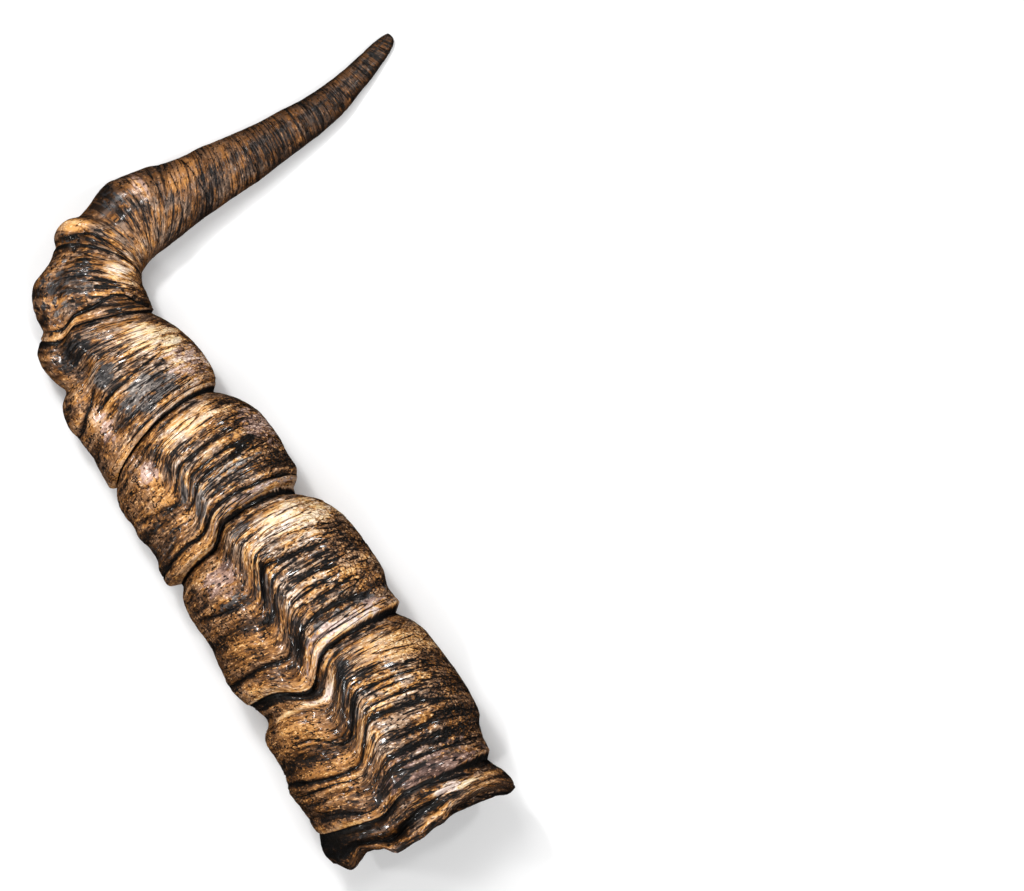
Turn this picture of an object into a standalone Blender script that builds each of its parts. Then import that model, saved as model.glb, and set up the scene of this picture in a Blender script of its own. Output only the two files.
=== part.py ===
"""Ibex horn, lying on its side.

One piece of horn, grown in rings from a flared, ragged base rim to a smooth tapering tip, and
hollow at the base where it sat on the skull. Metres, +Z up. The horn lies with its base towards
-Y, its knobbed front edge towards -X and its tip towards +Y and +X, and it rests on z = 0.
"""

import math

import bmesh
import bpy
from mathutils import Vector, noise

MM = 0.001

# The stages in which the horn grew, base rim to tip. rear and front are the two edges of the horn
# seen from above, in millimetres from the middle of its box, each going tipward. The other values
# belong to the stage's base seam, or to its base seam and its middle where there are two.
# thick: half the thickness. lift: gap under the stage when the horn lies down. relief: share of
# the full ring form. rear_arch, front_arch: how far a growth line bows tipward on the rear barrel
# and on the front lobe. dip: how far it sags where the two meet. trough: depth of the trough there.
# place: where that trough lies across the horn, from the rear edge (0) to the front edge (1).
STAGES = [
    dict(form="collar", thick=33.5, lift=1.5, relief=0.9, trough=3.0,
         rear_arch=(0.0, 1.0), front_arch=(0.0, -3.0), dip=(0.0, 1.0),
         place=(0.64, 0.62),
         rear=[(121, -168.5), (119, -164), (115, -160), (111, -157.5), (107, -154.5)],
         front=[(30, -206.5), (26, -202.5), (24, -197.5), (23, -192.5)]),
    dict(form="ring", thick=35.0, lift=0.0, relief=1.0, trough=4.5,
         rear_arch=(1.5, 17.0), front_arch=(-4.5, -2.0), dip=(1.5, 3.0),
         place=(0.62, 0.60),
         rear=[(108, -150), (105, -144), (103, -136.5), (103, -131), (99, -122.5),
               (94, -114), (85, -101.5), (76, -90), (68, -84.5), (61, -81.5)],
         front=[(23, -191.5), (18, -184.5), (13, -177.5), (8, -171), (6, -163), (3, -156.5),
                (-1, -151.5), (-3, -147), (-4, -142), (-2, -137), (-6, -131.5), (-11, -128)]),
    dict(form="ring", thick=34.0, lift=0.0, relief=1.0, trough=6.0,
         rear_arch=(4.5, 17.0), front_arch=(0.0, -1.0), dip=(10.0, 4.0),
         place=(0.62, 0.62),
         rear=[(63, -76), (60, -72), (57, -67.5), (55, -60), (49, -50),
               (42, -40.5), (34, -31.5), (25, -25.5), (18, -23.5), (11, -22.5)],
         front=[(-12, -127.5), (-17, -124), (-22, -118), (-26, -110), (-30, -101),
                (-34, -94), (-39, -88), (-43, -80.5), (-45, -74), (-45, -68.5)]),
    dict(form="ring", thick=31.0, lift=0.0, relief=1.0, trough=5.0,
         rear_arch=(12.5, 16.0), front_arch=(6.5, 5.0), dip=(1.5, 2.0),
         place=(0.63, 0.65),
         rear=[(10, -19), (12, -12.5), (11, -7.5), (7, -1.5), (3.5, 5.5),
               (-1, 12), (-7.5, 19.5), (-15, 24.5), (-23, 27.5), (-30, 29)],
         front=[(-46, -67), (-51, -67.5), (-54, -65.5), (-57, -60), (-58, -55), (-61, -50),
                (-67, -44), (-71, -37), (-76, -30.5), (-78, -24), (-77, -19.5)]),
    dict(form="ring", thick=27.0, lift=0.0, relief=0.95, trough=3.0,
         rear_arch=(10.3, 10.0), front_arch=(10.3, 6.0), dip=(0.0, 1.0),
         place=(0.70, 0.77),
         rear=[(-29, 32.5), (-29.5, 38), (-33.5, 46), (-39.5, 53.5), (-46.5, 60), (-54, 65),
               (-61, 68.5)],
         front=[(-78, -19), (-82, -18.5), (-84, -15), (-88, -8.5), (-90, -4), (-95, 2),
                (-101, 9.5), (-104.5, 15.5), (-105.5, 22.5), (-104, 29), (-107, 32),
                (-112, 36.5), (-116, 42), (-118, 48), (-117, 53.5)]),
    dict(form="ring", thick=22.5, lift=0.0, relief=0.8, trough=3.0,
         rear_arch=(3.5, 8.0), front_arch=(-3.0, 4.0), dip=(1.0, 1.0),
         place=(0.80, 0.80),
         rear=[(-60, 70), (-61.5, 73.5), (-63.5, 78.5), (-65.5, 82.5), (-66, 86)],
         front=[(-116, 55), (-115, 59), (-118.5, 65.5), (-120.5, 72.5), (-121, 77),
                (-120, 83), (-116, 88.5), (-112, 94), (-110, 99)]),
    dict(form="knuckle", thick=18.5, lift=0.0, relief=0.75, trough=1.5,
         rear_arch=(9.0, 8.5), front_arch=(9.0, 8.5), dip=(0.0, 0.0),
         place=(0.75, 0.75),
         rear=[(-66, 86.5), (-66, 88.5), (-65, 90.5)],
         front=[(-109, 101), (-110, 106), (-108, 110.5), (-104, 114.5), (-98, 116.5),
                (-94, 120.5)]),
    dict(form="swelling", thick=16.5, lift=0.5, relief=0.7, trough=0.8,
         rear_arch=(8.0, 7.5), front_arch=(8.0, 7.5), dip=(0.0, 0.0),
         place=(0.75, 0.75),
         rear=[(-65, 90.5), (-62.5, 94), (-58.5, 98)],
         front=[(-92, 123), (-88, 129), (-84, 133), (-79, 135.5), (-72, 138.5),
                (-64, 141.5), (-58, 142.5)]),
    dict(form="shaft", thick=14.5, lift=2.0, relief=0.0, trough=0.4,
         rear_arch=(7.0, 5.0), front_arch=(7.0, 5.0), dip=(0.0, 0.0),
         place=(0.75, 0.75),
         rear=[(-58.5, 98), (-53.5, 101.5), (-47, 106.5), (-37, 114.5), (-27, 121.5),
               (-17, 128.5), (-7, 135)],
         front=[(-58, 142.5), (-47, 146.5), (-37, 151.5), (-27, 155.5), (-19, 159)]),
    dict(form="shaft", thick=10.2, lift=2.0, relief=0.0, trough=0.0,
         rear_arch=(3.5, 3.0), front_arch=(3.5, 3.0), dip=(0.0, 0.0),
         place=(0.75, 0.75),
         rear=[(-7, 135), (3, 143), (13, 150.5), (23, 158)],
         front=[(-19, 159), (-7, 164.5), (3, 170), (13, 175)]),
    dict(form="tip", thick=7.4, lift=0.6, relief=0.0, trough=0.0,
         rear_arch=(2.5, 1.0), front_arch=(2.5, 1.0), dip=(0.0, 0.0),
         place=(0.75, 0.75),
         rear=[(23, 158), (33, 167), (38, 172.5), (43, 179), (48, 185), (53, 192),
               (58, 199.5), (60, 204.5), (59, 207.5), (57, 209)],
         front=[(13, 175), (23, 181.5), (33, 189), (43, 198), (50, 204.5), (55, 208),
                (57, 209)]),
]
POINT = dict(thick=1.8, lift=0.0, relief=0.0, trough=0.0,
             rear_arch=(0.0,), front_arch=(0.0,), dip=(0.0,), place=(0.75,))

# Height of each form on its rear barrel and on its front lobe, as (share of the stage, height in
# millimetres on the thickest ring). A ring runs from the lip that overhangs the ring before it,
# over a valley and folds, to the end that is tucked under the next lip.
RING_BARREL = [(0.0, 0.6), (0.04, 1.7), (0.10, 1.3), (0.17, -1.9), (0.24, -1.0), (0.32, 1.2),
               (0.40, 0.2), (0.50, 2.4), (0.60, 2.0), (0.72, 3.4), (0.84, 2.6), (0.94, -0.6),
               (1.0, -4.2)]
RING_LOBE = [(0.0, 0.6), (0.05, 1.8), (0.12, 0.8), (0.19, -1.2), (0.30, 1.6), (0.40, 1.8),
             (0.50, -1.2), (0.60, 1.6), (0.72, 3.3), (0.82, 2.8), (0.90, 0.6), (0.95, -1.8),
             (1.0, -4.2)]
COLLAR_RIDGES = [(0.0, 2.4), (0.17, 3.0), (0.36, -0.8), (0.56, 2.0), (0.78, 0.6), (1.0, -3.0)]
KNUCKLE_BARREL = [(0.0, 0.0), (0.3, 1.6), (0.6, 1.0), (1.0, -0.6)]
KNUCKLE_LOBE = [(0.0, -0.6), (0.2, 1.8), (0.45, 2.8), (0.75, 0.4), (1.0, -1.2)]
SWELLING_BARREL = [(0.0, -0.6), (0.3, 0.6), (0.6, 0.8), (1.0, 0.0)]
SWELLING_LOBE = [(0.0, -1.2), (0.25, 0.6), (0.5, 1.8), (0.75, 1.0), (1.0, 0.0)]
PLAIN = [(0.0, 0.0), (1.0, 0.0)]
FORMS = {
    "collar": (COLLAR_RIDGES, COLLAR_RIDGES),
    "ring": (RING_BARREL, RING_LOBE),
    "knuckle": (KNUCKLE_BARREL, KNUCKLE_LOBE),
    "swelling": (SWELLING_BARREL, SWELLING_LOBE),
    "shaft": (PLAIN, PLAIN),
    "tip": (PLAIN, PLAIN),
}
THICKEST = 36.0
CREST = 3.4
TUCK = 1.2
TUCKED_FROM = 0.9

# Sections are placed at the shares of a stage where its form turns.
ROWS = {
    "collar": [share for share, height in COLLAR_RIDGES],
    "ring": [share for share, height in RING_BARREL],
    "knuckle": [0.0, 0.2, 0.4, 0.6, 0.8],
    "swelling": [0.0, 0.2, 0.4, 0.6, 0.8],
    "shaft": [0.0, 0.2, 0.4, 0.6, 0.8],
    "tip": [0.0, 0.2, 0.4, 0.58, 0.73, 0.84, 0.91, 0.955, 0.985, 1.0],
}
AROUND = 44

# Widths across the horn, as shares of it: the trough, the sag of the growth lines there, and how
# far before and behind the trough's middle the rear barrel turns into the front lobe.
TROUGH_WIDTH = 0.075
DIP_WIDTH = 0.13
DIP_BEHIND = 0.05
LOBE_FROM = -0.13
LOBE_TO = 0.05

# Ragged edge of the base rim: place across the horn, and how far the edge lies tipward.
RIM_EDGE = [(0.0, 0.0), (0.08, 5.0), (0.17, 6.5), (0.29, 4.5), (0.42, -1.5), (0.55, -5.2),
            (0.67, -7.0), (0.74, -1.5), (0.83, 1.2), (0.92, -6.2), (1.0, 0.0)]
RIM_UNDER = 2.5
RIM_ROUND = 1.5

# The hollow: growth from the base rim, and the share of the horn's section that it takes.
HOLLOW = [(0.02, 0.82), (0.5, 0.77), (1.0, 0.70), (1.22, 0.62), (1.42, 0.50), (1.58, 0.34),
          (1.68, 0.16), (1.71, 0.0)]

# The side that the horn lies on is flatter and calmer, and its crests are worn flat.
WORN = 1.3
UNDERSIDE = 0.75
UNDER_POWER = 2.5
UPPER_POWER = 2.15
LUMP_SIZE = 17.0
LUMP_HEIGHT = 0.9


def curve(before, first, second, after, share):
    """Smooth curve between the middle two of four values that follow each other."""
    slope_in = (second - before) / 2
    slope_out = (after - first) / 2
    square = share * share
    cube = square * share
    return (first * (2 * cube - 3 * square + 1) + slope_in * (cube - 2 * square + share)
            + second * (3 * square - 2 * cube) + slope_out * (cube - square))


def eased(knots, share):
    """Value between (share, value) knots, with a level stretch at each knot."""
    for (low, first), (high, second) in zip(knots, knots[1:]):
        if share <= high:
            return first + (second - first) * blend(share, low, high)
    return knots[-1][1]


def blend(value, low, high):
    """Rise from 0 at low to 1 at high, level at both ends."""
    share = min(max((value - low) / (high - low), 0.0), 1.0)
    return share * share * (3 - 2 * share)


def hump(place, middle, width):
    """A smooth hump of height 1."""
    return math.exp(-((place - middle) / width) ** 2)


def edge_point(points, share):
    """Point of the horn's edge at a share of the length of one stage's run of points."""
    places = [Vector(point) for point in points]
    lengths = [(b - a).length for a, b in zip(places, places[1:])]
    left = share * sum(lengths)
    number = 0
    while number < len(lengths) - 1 and left > lengths[number]:
        left -= lengths[number]
        number += 1
    first, second = places[number], places[number + 1]
    before = places[number - 1] if number else first * 2 - second
    after = places[number + 2] if number + 2 < len(places) else second * 2 - first
    return curve(before, first, second, after, min(left / lengths[number], 1.0))


def at_seams(key, growth):
    """A value that each stage gives once, read at a growth of whole stages plus a share."""
    values = [stage[key] for stage in STAGES] + [POINT[key]]
    number = min(int(growth), len(values) - 2)
    before = values[max(number - 1, 0)]
    after = values[min(number + 2, len(values) - 1)]
    return curve(before, values[number], values[number + 1], after, growth - number)


def at_half_steps(key, growth):
    """A value that each stage gives at its seam and at its middle."""
    values = [value for stage in STAGES + [POINT] for value in stage[key]]
    number = min(int(growth * 2), len(values) - 2)
    before = values[max(number - 1, 0)]
    after = values[min(number + 2, len(values) - 1)]
    return curve(before, values[number], values[number + 1], after, growth * 2 - number)


def section(number, share):
    """What all points of one section share: its two edges and its values."""
    stage = STAGES[number]
    growth = number + share
    rear = edge_point(stage["rear"], share)
    front = edge_point(stage["front"], share)
    across = (rear - front) / 2
    tipward = Vector((-across.y, across.x))
    if across.length > 0:
        tipward.normalize()
    thick = min(at_seams("thick", growth), 0.78 * across.length)
    size = thick / THICKEST
    barrel, lobe = FORMS[stage["form"]]
    height = size * stage["relief"]
    tuck = TUCK if stage["form"] in ("collar", "ring") else 0.0
    return dict(
        middle=(rear + front) / 2, across=across, tipward=tipward, thick=thick, size=size,
        bed=thick + (CREST - WORN) * size * at_seams("relief", growth) + at_seams("lift", growth),
        barrel=eased(barrel, share) * height, lobe=eased(lobe, share) * height,
        trough=at_seams("trough", growth), dip=at_half_steps("dip", growth),
        rear_arch=at_half_steps("rear_arch", growth),
        front_arch=at_half_steps("front_arch", growth), place=at_half_steps("place", growth),
        tuck=tuck * blend(share, TUCKED_FROM, 1.0),
        rim=(1 - share) ** 2 if stage["form"] == "collar" else 0.0,
    )


def skin(cut, turn):
    """Point of the horn's surface in one section.

    The turn starts at the rear edge, passes over the top and reaches the front edge half way.
    """
    cosine = math.cos(turn)
    sine = math.sin(turn)
    place = (1 - cosine) / 2
    upper = sine > 0
    calm = 1.0 if upper else UNDERSIDE
    trough = cut["place"]
    lobe = blend(place, trough + LOBE_FROM, trough + LOBE_TO)

    rise = math.sqrt(sine * sine + 0.03) - math.sqrt(0.03)
    sweep = (cut["rear_arch"] * (1 - lobe) + cut["front_arch"] * lobe) * rise
    sweep -= cut["dip"] * hump(place, trough + DIP_BEHIND, DIP_WIDTH)
    sweep = sweep * calm + cut["tuck"] * rise
    sweep += cut["rim"] * (eased(RIM_EDGE, place) + (0.0 if upper else RIM_UNDER * rise))

    power = UPPER_POWER if upper else UNDER_POWER
    fullness = (1 - abs(cosine) ** power) ** (1 / power)
    height = cut["thick"] + cut["barrel"] * (1 - lobe) + cut["lobe"] * lobe
    if upper:
        height += cut["thick"] * 0.05 * hump(place, 0.36, 0.26)
        height += cut["thick"] * 0.04 * hump(place, trough + 0.14, 0.09)
    height *= fullness
    height -= cut["trough"] * hump(place, trough, TROUGH_WIDTH) * (1.0 if upper else 0.3)

    plan = cut["middle"] + cut["across"] * cosine + cut["tipward"] * sweep
    point = Vector((plan.x, plan.y, cut["bed"] + (height if upper else -height)))
    point.z += noise.noise(point / LUMP_SIZE) * LUMP_HEIGHT * cut["size"] * fullness
    point.z = max(point.z, 0.0)
    return point * MM


def hollow_wall(growth, share_taken, turn):
    """Point of the wall of the hollow at the base."""
    number = int(growth)
    cut = section(number, growth - number)
    plan = cut["middle"] + cut["across"] * math.cos(turn) * share_taken
    level = cut["bed"] + cut["thick"] * math.sin(turn) * share_taken
    return Vector((plan.x, plan.y, level)) * MM


def rim_face(turn):
    """Point half way across the rounded face of the rim, between the skin and the hollow."""
    cut = section(0, 0.0)
    face = skin(cut, turn).lerp(hollow_wall(*HOLLOW[0], turn), 0.45)
    return face - cut["tipward"].to_3d() * RIM_ROUND * MM


def horn_rows():
    """Points of every section: up the hollow's wall from its end, round the rim and to the tip."""
    turns = [2 * math.pi * step / AROUND for step in range(AROUND)]
    rows = []
    for growth, share_taken in reversed(HOLLOW):
        rows.append([hollow_wall(growth, share_taken, turn) for turn in turns])
    rows.append([rim_face(turn) for turn in turns])
    for number, stage in enumerate(STAGES):
        for share in ROWS[stage["form"]]:
            cut = section(number, share)
            rows.append([skin(cut, turn) for turn in turns])
    return rows


def horn_mesh():
    """The whole horn: a grid rolled into a tube along its sections and closed at both ends."""
    rows = horn_rows()
    bm = bmesh.new()
    bmesh.ops.create_grid(bm, x_segments=AROUND, y_segments=len(rows) - 1, size=1.0)
    bm.verts.ensure_lookup_table()
    for number, row in enumerate(rows):
        for column in range(AROUND + 1):
            bm.verts[number * (AROUND + 1) + column].co = row[column % AROUND]
    bmesh.ops.remove_doubles(bm, verts=bm.verts, dist=1e-6)
    bmesh.ops.recalc_face_normals(bm, faces=bm.faces)
    mesh = bpy.data.meshes.new("horn")
    bm.to_mesh(mesh)
    bm.free()
    return mesh


def horn_material():
    """Dark golden brown horn with a dull polish."""
    material = bpy.data.materials.new("horn keratin")
    material.use_nodes = True
    shader = material.node_tree.nodes["Principled BSDF"]
    shader.inputs["Base Color"].default_value = (0.23, 0.125, 0.05, 1.0)
    shader.inputs["Roughness"].default_value = 0.42
    shader.inputs["Metallic"].default_value = 0.0
    return material


for old in list(bpy.data.objects):
    bpy.data.objects.remove(old, do_unlink=True)

collection = bpy.data.collections.new("ibex horn")
bpy.context.scene.collection.children.link(collection)
horn = bpy.data.objects.new("horn", horn_mesh())
horn.data.materials.append(horn_material())
horn.data.shade_smooth()
collection.objects.link(horn)
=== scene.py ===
import math

import bmesh
import bpy
import numpy as np
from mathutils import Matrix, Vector, noise


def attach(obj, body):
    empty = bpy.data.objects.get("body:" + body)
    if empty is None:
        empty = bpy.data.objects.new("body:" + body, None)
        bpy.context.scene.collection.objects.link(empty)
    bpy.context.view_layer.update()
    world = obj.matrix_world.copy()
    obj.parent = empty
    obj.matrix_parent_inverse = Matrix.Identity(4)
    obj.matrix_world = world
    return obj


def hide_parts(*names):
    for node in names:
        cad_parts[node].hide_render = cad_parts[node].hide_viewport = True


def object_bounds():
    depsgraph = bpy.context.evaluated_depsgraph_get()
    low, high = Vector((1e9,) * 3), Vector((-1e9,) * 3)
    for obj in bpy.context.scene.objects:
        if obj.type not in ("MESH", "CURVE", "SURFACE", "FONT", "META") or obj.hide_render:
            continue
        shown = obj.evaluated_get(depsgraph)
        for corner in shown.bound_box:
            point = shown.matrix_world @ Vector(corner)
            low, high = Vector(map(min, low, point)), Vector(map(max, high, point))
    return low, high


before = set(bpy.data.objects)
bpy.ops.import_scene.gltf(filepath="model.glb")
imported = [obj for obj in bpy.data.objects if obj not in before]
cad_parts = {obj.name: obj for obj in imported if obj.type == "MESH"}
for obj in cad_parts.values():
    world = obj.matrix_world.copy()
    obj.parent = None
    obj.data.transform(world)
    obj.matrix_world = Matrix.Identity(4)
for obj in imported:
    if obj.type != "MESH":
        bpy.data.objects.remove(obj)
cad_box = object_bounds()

# The horn
# One piece of keratin that grew in rings, each lapping over the one before it, from a ragged base
# rim to a smooth tip, and hollow at the base where it sat on the skull. Old dirt and painted shade
# darken its grooves, painted shade darkens its hollow, and its crests, polished by handling, carry
# a painted highlight.

MM = 0.001

# The stages in which the horn grew, base rim to tip. rear and front are the two edges of the horn
# seen from above, in millimetres from the middle of its box, each going tipward. The other values
# belong to the stage's base seam, or to its base seam and its middle where there are two.
# rows: how many sections the stage gets. thick: half the thickness. lift: gap under the stage when
# the horn lies down. relief: share of the full ring form. rear_arch, front_arch: how far a growth
# line bows tipward on the rear barrel and on the front lobe. dip: how far it sags where the two
# meet. trough: depth of the trough there. place: where that trough lies across the horn, from the
# rear edge (0) to the front edge (1).
STAGES = [
    dict(form="collar", rows=54, thick=33.5, lift=1.5, relief=0.9, trough=3.0,
         rear_arch=(0.0, 1.0), front_arch=(0.0, -3.0), dip=(0.0, 1.0),
         place=(0.64, 0.62),
         rear=[(121, -168.5), (119, -164), (115, -160), (111, -157.5), (107, -154.5)],
         front=[(30, -206.5), (26, -202.5), (24, -197.5), (23, -192.5)]),
    dict(form="ring", rows=120, thick=35.0, lift=0.0, relief=1.0, trough=4.5,
         rear_arch=(1.5, 17.0), front_arch=(-4.5, -2.0), dip=(1.5, 3.0),
         place=(0.62, 0.60),
         rear=[(108, -150), (105, -144), (103, -136.5), (103, -131), (99, -122.5),
               (94, -114), (85, -101.5), (76, -90), (68, -84.5), (61, -81.5)],
         front=[(23, -191.5), (18, -184.5), (13, -177.5), (8, -171), (6, -163), (3, -156.5),
                (-1, -151.5), (-3, -147), (-4, -142), (-2, -137), (-6, -131.5), (-11, -128)]),
    dict(form="ring", rows=118, thick=34.0, lift=0.0, relief=1.0, trough=6.0,
         rear_arch=(4.5, 17.0), front_arch=(0.0, -1.0), dip=(10.0, 4.0),
         place=(0.62, 0.62),
         rear=[(63, -76), (60, -72), (57, -67.5), (55, -60), (49, -50),
               (42, -40.5), (34, -31.5), (25, -25.5), (18, -23.5), (11, -22.5)],
         front=[(-12, -127.5), (-17, -124), (-22, -118), (-26, -110), (-30, -101),
                (-34, -94), (-39, -88), (-43, -80.5), (-45, -74), (-45, -68.5)]),
    dict(form="ring", rows=108, thick=31.0, lift=0.0, relief=1.0, trough=5.0,
         rear_arch=(12.5, 16.0), front_arch=(6.5, 5.0), dip=(1.5, 2.0),
         place=(0.63, 0.65),
         rear=[(10, -19), (12, -12.5), (11, -7.5), (7, -1.5), (3.5, 5.5),
               (-1, 12), (-7.5, 19.5), (-15, 24.5), (-23, 27.5), (-30, 29)],
         front=[(-46, -67), (-51, -67.5), (-54, -65.5), (-57, -60), (-58, -55), (-61, -50),
                (-67, -44), (-71, -37), (-76, -30.5), (-78, -24), (-77, -19.5)]),
    dict(form="ring", rows=98, thick=27.0, lift=0.0, relief=0.95, trough=3.0,
         rear_arch=(10.3, 10.0), front_arch=(10.3, 6.0), dip=(0.0, 1.0),
         place=(0.70, 0.77),
         rear=[(-29, 32.5), (-29.5, 38), (-33.5, 46), (-39.5, 53.5), (-46.5, 60), (-54, 65),
               (-61, 68.5)],
         front=[(-78, -19), (-82, -18.5), (-84, -15), (-88, -8.5), (-90, -4), (-95, 2),
                (-101, 9.5), (-104.5, 15.5), (-105.5, 22.5), (-104, 29), (-107, 32),
                (-112, 36.5), (-116, 42), (-118, 48), (-117, 53.5)]),
    dict(form="ring", rows=62, thick=22.5, lift=0.0, relief=0.8, trough=3.0,
         rear_arch=(3.5, 8.0), front_arch=(-3.0, 4.0), dip=(1.0, 1.0),
         place=(0.80, 0.80),
         rear=[(-60, 70), (-61.5, 73.5), (-63.5, 78.5), (-65.5, 82.5), (-66, 86)],
         front=[(-116, 55), (-115, 59), (-118.5, 65.5), (-120.5, 72.5), (-121, 77),
                (-120, 83), (-116, 88.5), (-112, 94), (-110, 99)]),
    dict(form="knuckle", rows=30, thick=18.5, lift=0.0, relief=0.75, trough=1.5,
         rear_arch=(9.0, 8.5), front_arch=(9.0, 8.5), dip=(0.0, 0.0),
         place=(0.75, 0.75),
         rear=[(-66, 86.5), (-66, 88.5), (-65, 90.5)],
         front=[(-109, 101), (-110, 106), (-108, 110.5), (-104, 114.5), (-98, 116.5),
                (-94, 120.5)]),
    dict(form="swelling", rows=36, thick=16.5, lift=0.5, relief=0.7, trough=0.8,
         rear_arch=(8.0, 7.5), front_arch=(8.0, 7.5), dip=(0.0, 0.0),
         place=(0.75, 0.75),
         rear=[(-65, 90.5), (-62.5, 94), (-58.5, 98)],
         front=[(-92, 123), (-88, 129), (-84, 133), (-79, 135.5), (-72, 138.5),
                (-64, 141.5), (-58, 142.5)]),
    dict(form="shaft", rows=56, thick=14.5, lift=2.0, relief=0.0, trough=0.4,
         rear_arch=(7.0, 5.0), front_arch=(7.0, 5.0), dip=(0.0, 0.0),
         place=(0.75, 0.75),
         rear=[(-58.5, 98), (-53.5, 101.5), (-47, 106.5), (-37, 114.5), (-27, 121.5),
               (-17, 128.5), (-7, 135)],
         front=[(-58, 142.5), (-47, 146.5), (-37, 151.5), (-27, 155.5), (-19, 159)]),
    dict(form="shaft", rows=34, thick=10.2, lift=2.0, relief=0.0, trough=0.0,
         rear_arch=(3.5, 3.0), front_arch=(3.5, 3.0), dip=(0.0, 0.0),
         place=(0.75, 0.75),
         rear=[(-7, 135), (3, 143), (13, 150.5), (23, 158)],
         front=[(-19, 159), (-7, 164.5), (3, 170), (13, 175)]),
    dict(form="tip", rows=46, thick=7.4, lift=0.6, relief=0.0, trough=0.0,
         rear_arch=(2.5, 1.0), front_arch=(2.5, 1.0), dip=(0.0, 0.0),
         place=(0.75, 0.75),
         rear=[(23, 158), (33, 167), (38, 172.5), (43, 179), (48, 185), (53, 192),
               (58, 199.5), (60, 204.5), (59, 207.5), (57, 209)],
         front=[(13, 175), (23, 181.5), (33, 189), (43, 198), (50, 204.5), (55, 208),
                (57, 209)]),
]
POINT = dict(thick=1.8, lift=0.0, relief=0.0, trough=0.0,
             rear_arch=(0.0,), front_arch=(0.0,), dip=(0.0,), place=(0.75,))

# Height of each form on its rear barrel and on its front lobe, as (share of the stage, height in
# millimetres on the thickest ring). A ring runs from the lip that overhangs the ring before it,
# over a valley and folds, to the end that is tucked under the next lip.
RING_BARREL = [(0.0, 0.6), (0.04, 1.7), (0.10, 1.3), (0.17, -1.9), (0.24, -1.0), (0.32, 1.2),
               (0.40, 0.2), (0.50, 2.4), (0.60, 2.0), (0.72, 3.4), (0.84, 2.6), (0.94, -0.6),
               (1.0, -4.2)]
RING_LOBE = [(0.0, 0.6), (0.05, 1.8), (0.12, 0.8), (0.19, -1.2), (0.30, 1.6), (0.40, 1.8),
             (0.50, -1.2), (0.60, 1.6), (0.72, 3.3), (0.82, 2.8), (0.90, 0.6), (0.95, -1.8),
             (1.0, -4.2)]
COLLAR_RIDGES = [(0.0, 2.4), (0.17, 3.0), (0.36, -0.8), (0.56, 2.0), (0.78, 0.6), (1.0, -3.0)]
KNUCKLE_BARREL = [(0.0, 0.0), (0.3, 1.6), (0.6, 1.0), (1.0, -0.6)]
KNUCKLE_LOBE = [(0.0, -0.6), (0.2, 1.8), (0.45, 2.8), (0.75, 0.4), (1.0, -1.2)]
SWELLING_BARREL = [(0.0, -0.6), (0.3, 0.6), (0.6, 0.8), (1.0, 0.0)]
SWELLING_LOBE = [(0.0, -1.2), (0.25, 0.6), (0.5, 1.8), (0.75, 1.0), (1.0, 0.0)]
PLAIN = [(0.0, 0.0), (1.0, 0.0)]
FORMS = {
    "collar": (COLLAR_RIDGES, COLLAR_RIDGES),
    "ring": (RING_BARREL, RING_LOBE),
    "knuckle": (KNUCKLE_BARREL, KNUCKLE_LOBE),
    "swelling": (SWELLING_BARREL, SWELLING_LOBE),
    "shaft": (PLAIN, PLAIN),
    "tip": (PLAIN, PLAIN),
}

# THICKEST is half the thickness at which these heights hold, and CREST is the highest of them. The
# end of a ring bows tipward by TUCK, from the share TUCKED_FROM on, to lie under the next lip.
THICKEST = 36.0
CREST = 3.4
TUCK = 1.2
TUCKED_FROM = 0.9

# Shares of the width across the horn: the trough, the sag of the growth lines and how far frontward
# of the trough it lies, and where about the trough the rear barrel turns into the front lobe.
TROUGH_WIDTH = 0.075
DIP_WIDTH = 0.13
DIP_FRONTWARD = 0.05
LOBE_FROM = -0.13
LOBE_TO = 0.05

# Crowns that make the barrel and the lobe fuller: place across the horn (the lobe's from the
# trough), width, and height as a share of the thickness.
BARREL_CROWN = (0.36, 0.26, 0.05)
LOBE_CROWN = (0.14, 0.09, 0.04)

# Ragged edge of the base rim: place across the horn, and how far the edge lies tipward. It lies
# further tipward underneath, and its wall is rounded.
RIM_EDGE = [(0.0, 0.0), (0.08, 5.0), (0.17, 6.5), (0.29, 4.5), (0.42, -1.5), (0.55, -5.2),
            (0.67, -7.0), (0.74, -1.5), (0.83, 1.2), (0.92, -6.2), (1.0, 0.0)]
RIM_UNDER = 2.5
RIM_ROUND = 1.5
RIM_STEPS = 6
CHIP_SIZE = 5.0
CHIP_HEIGHT = 0.5

# The hollow: growth from the base rim, and the share of the horn's section that it takes.
HOLLOW = [(0.02, 0.82), (0.5, 0.77), (1.0, 0.70), (1.22, 0.62), (1.42, 0.50), (1.58, 0.34),
          (1.68, 0.16), (1.71, 0.0)]

# The side that the horn lies on is boxier and calmer, and its crests are worn flat. A growth line
# turns over near both edges in a small round. Half the thickness is at most THICKEST_SHARE of half
# the width, and broad lumps make the skin uneven.
WORN = 1.3
UNDERSIDE = 0.75
UNDER_TROUGH = 0.3
UNDER_POWER = 2.5
UPPER_POWER = 2.15
EDGE_ROUND = 0.03
THICKEST_SHARE = 0.78
LUMP_SIZE = 17.0
LUMP_HEIGHT = 0.9

# Columns around the horn, those on its upper side, and how much closer the rows are at the lips.
AROUND = 128
UPPER_COLUMNS = 72
CLOSER_AT_LIPS = 0.135


def curve(before, first, second, after, share):
    """Smooth curve between the middle two of four values that follow each other."""
    slope_in = (second - before) / 2
    slope_out = (after - first) / 2
    square = share * share
    cube = square * share
    return (first * (2 * cube - 3 * square + 1) + slope_in * (cube - 2 * square + share)
            + second * (3 * square - 2 * cube) + slope_out * (cube - square))


def blend(value, low, high):
    """Rise from 0 at low to 1 at high, level at both ends."""
    share = np.clip((value - low) / (high - low), 0.0, 1.0)
    return share * share * (3 - 2 * share)


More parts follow.
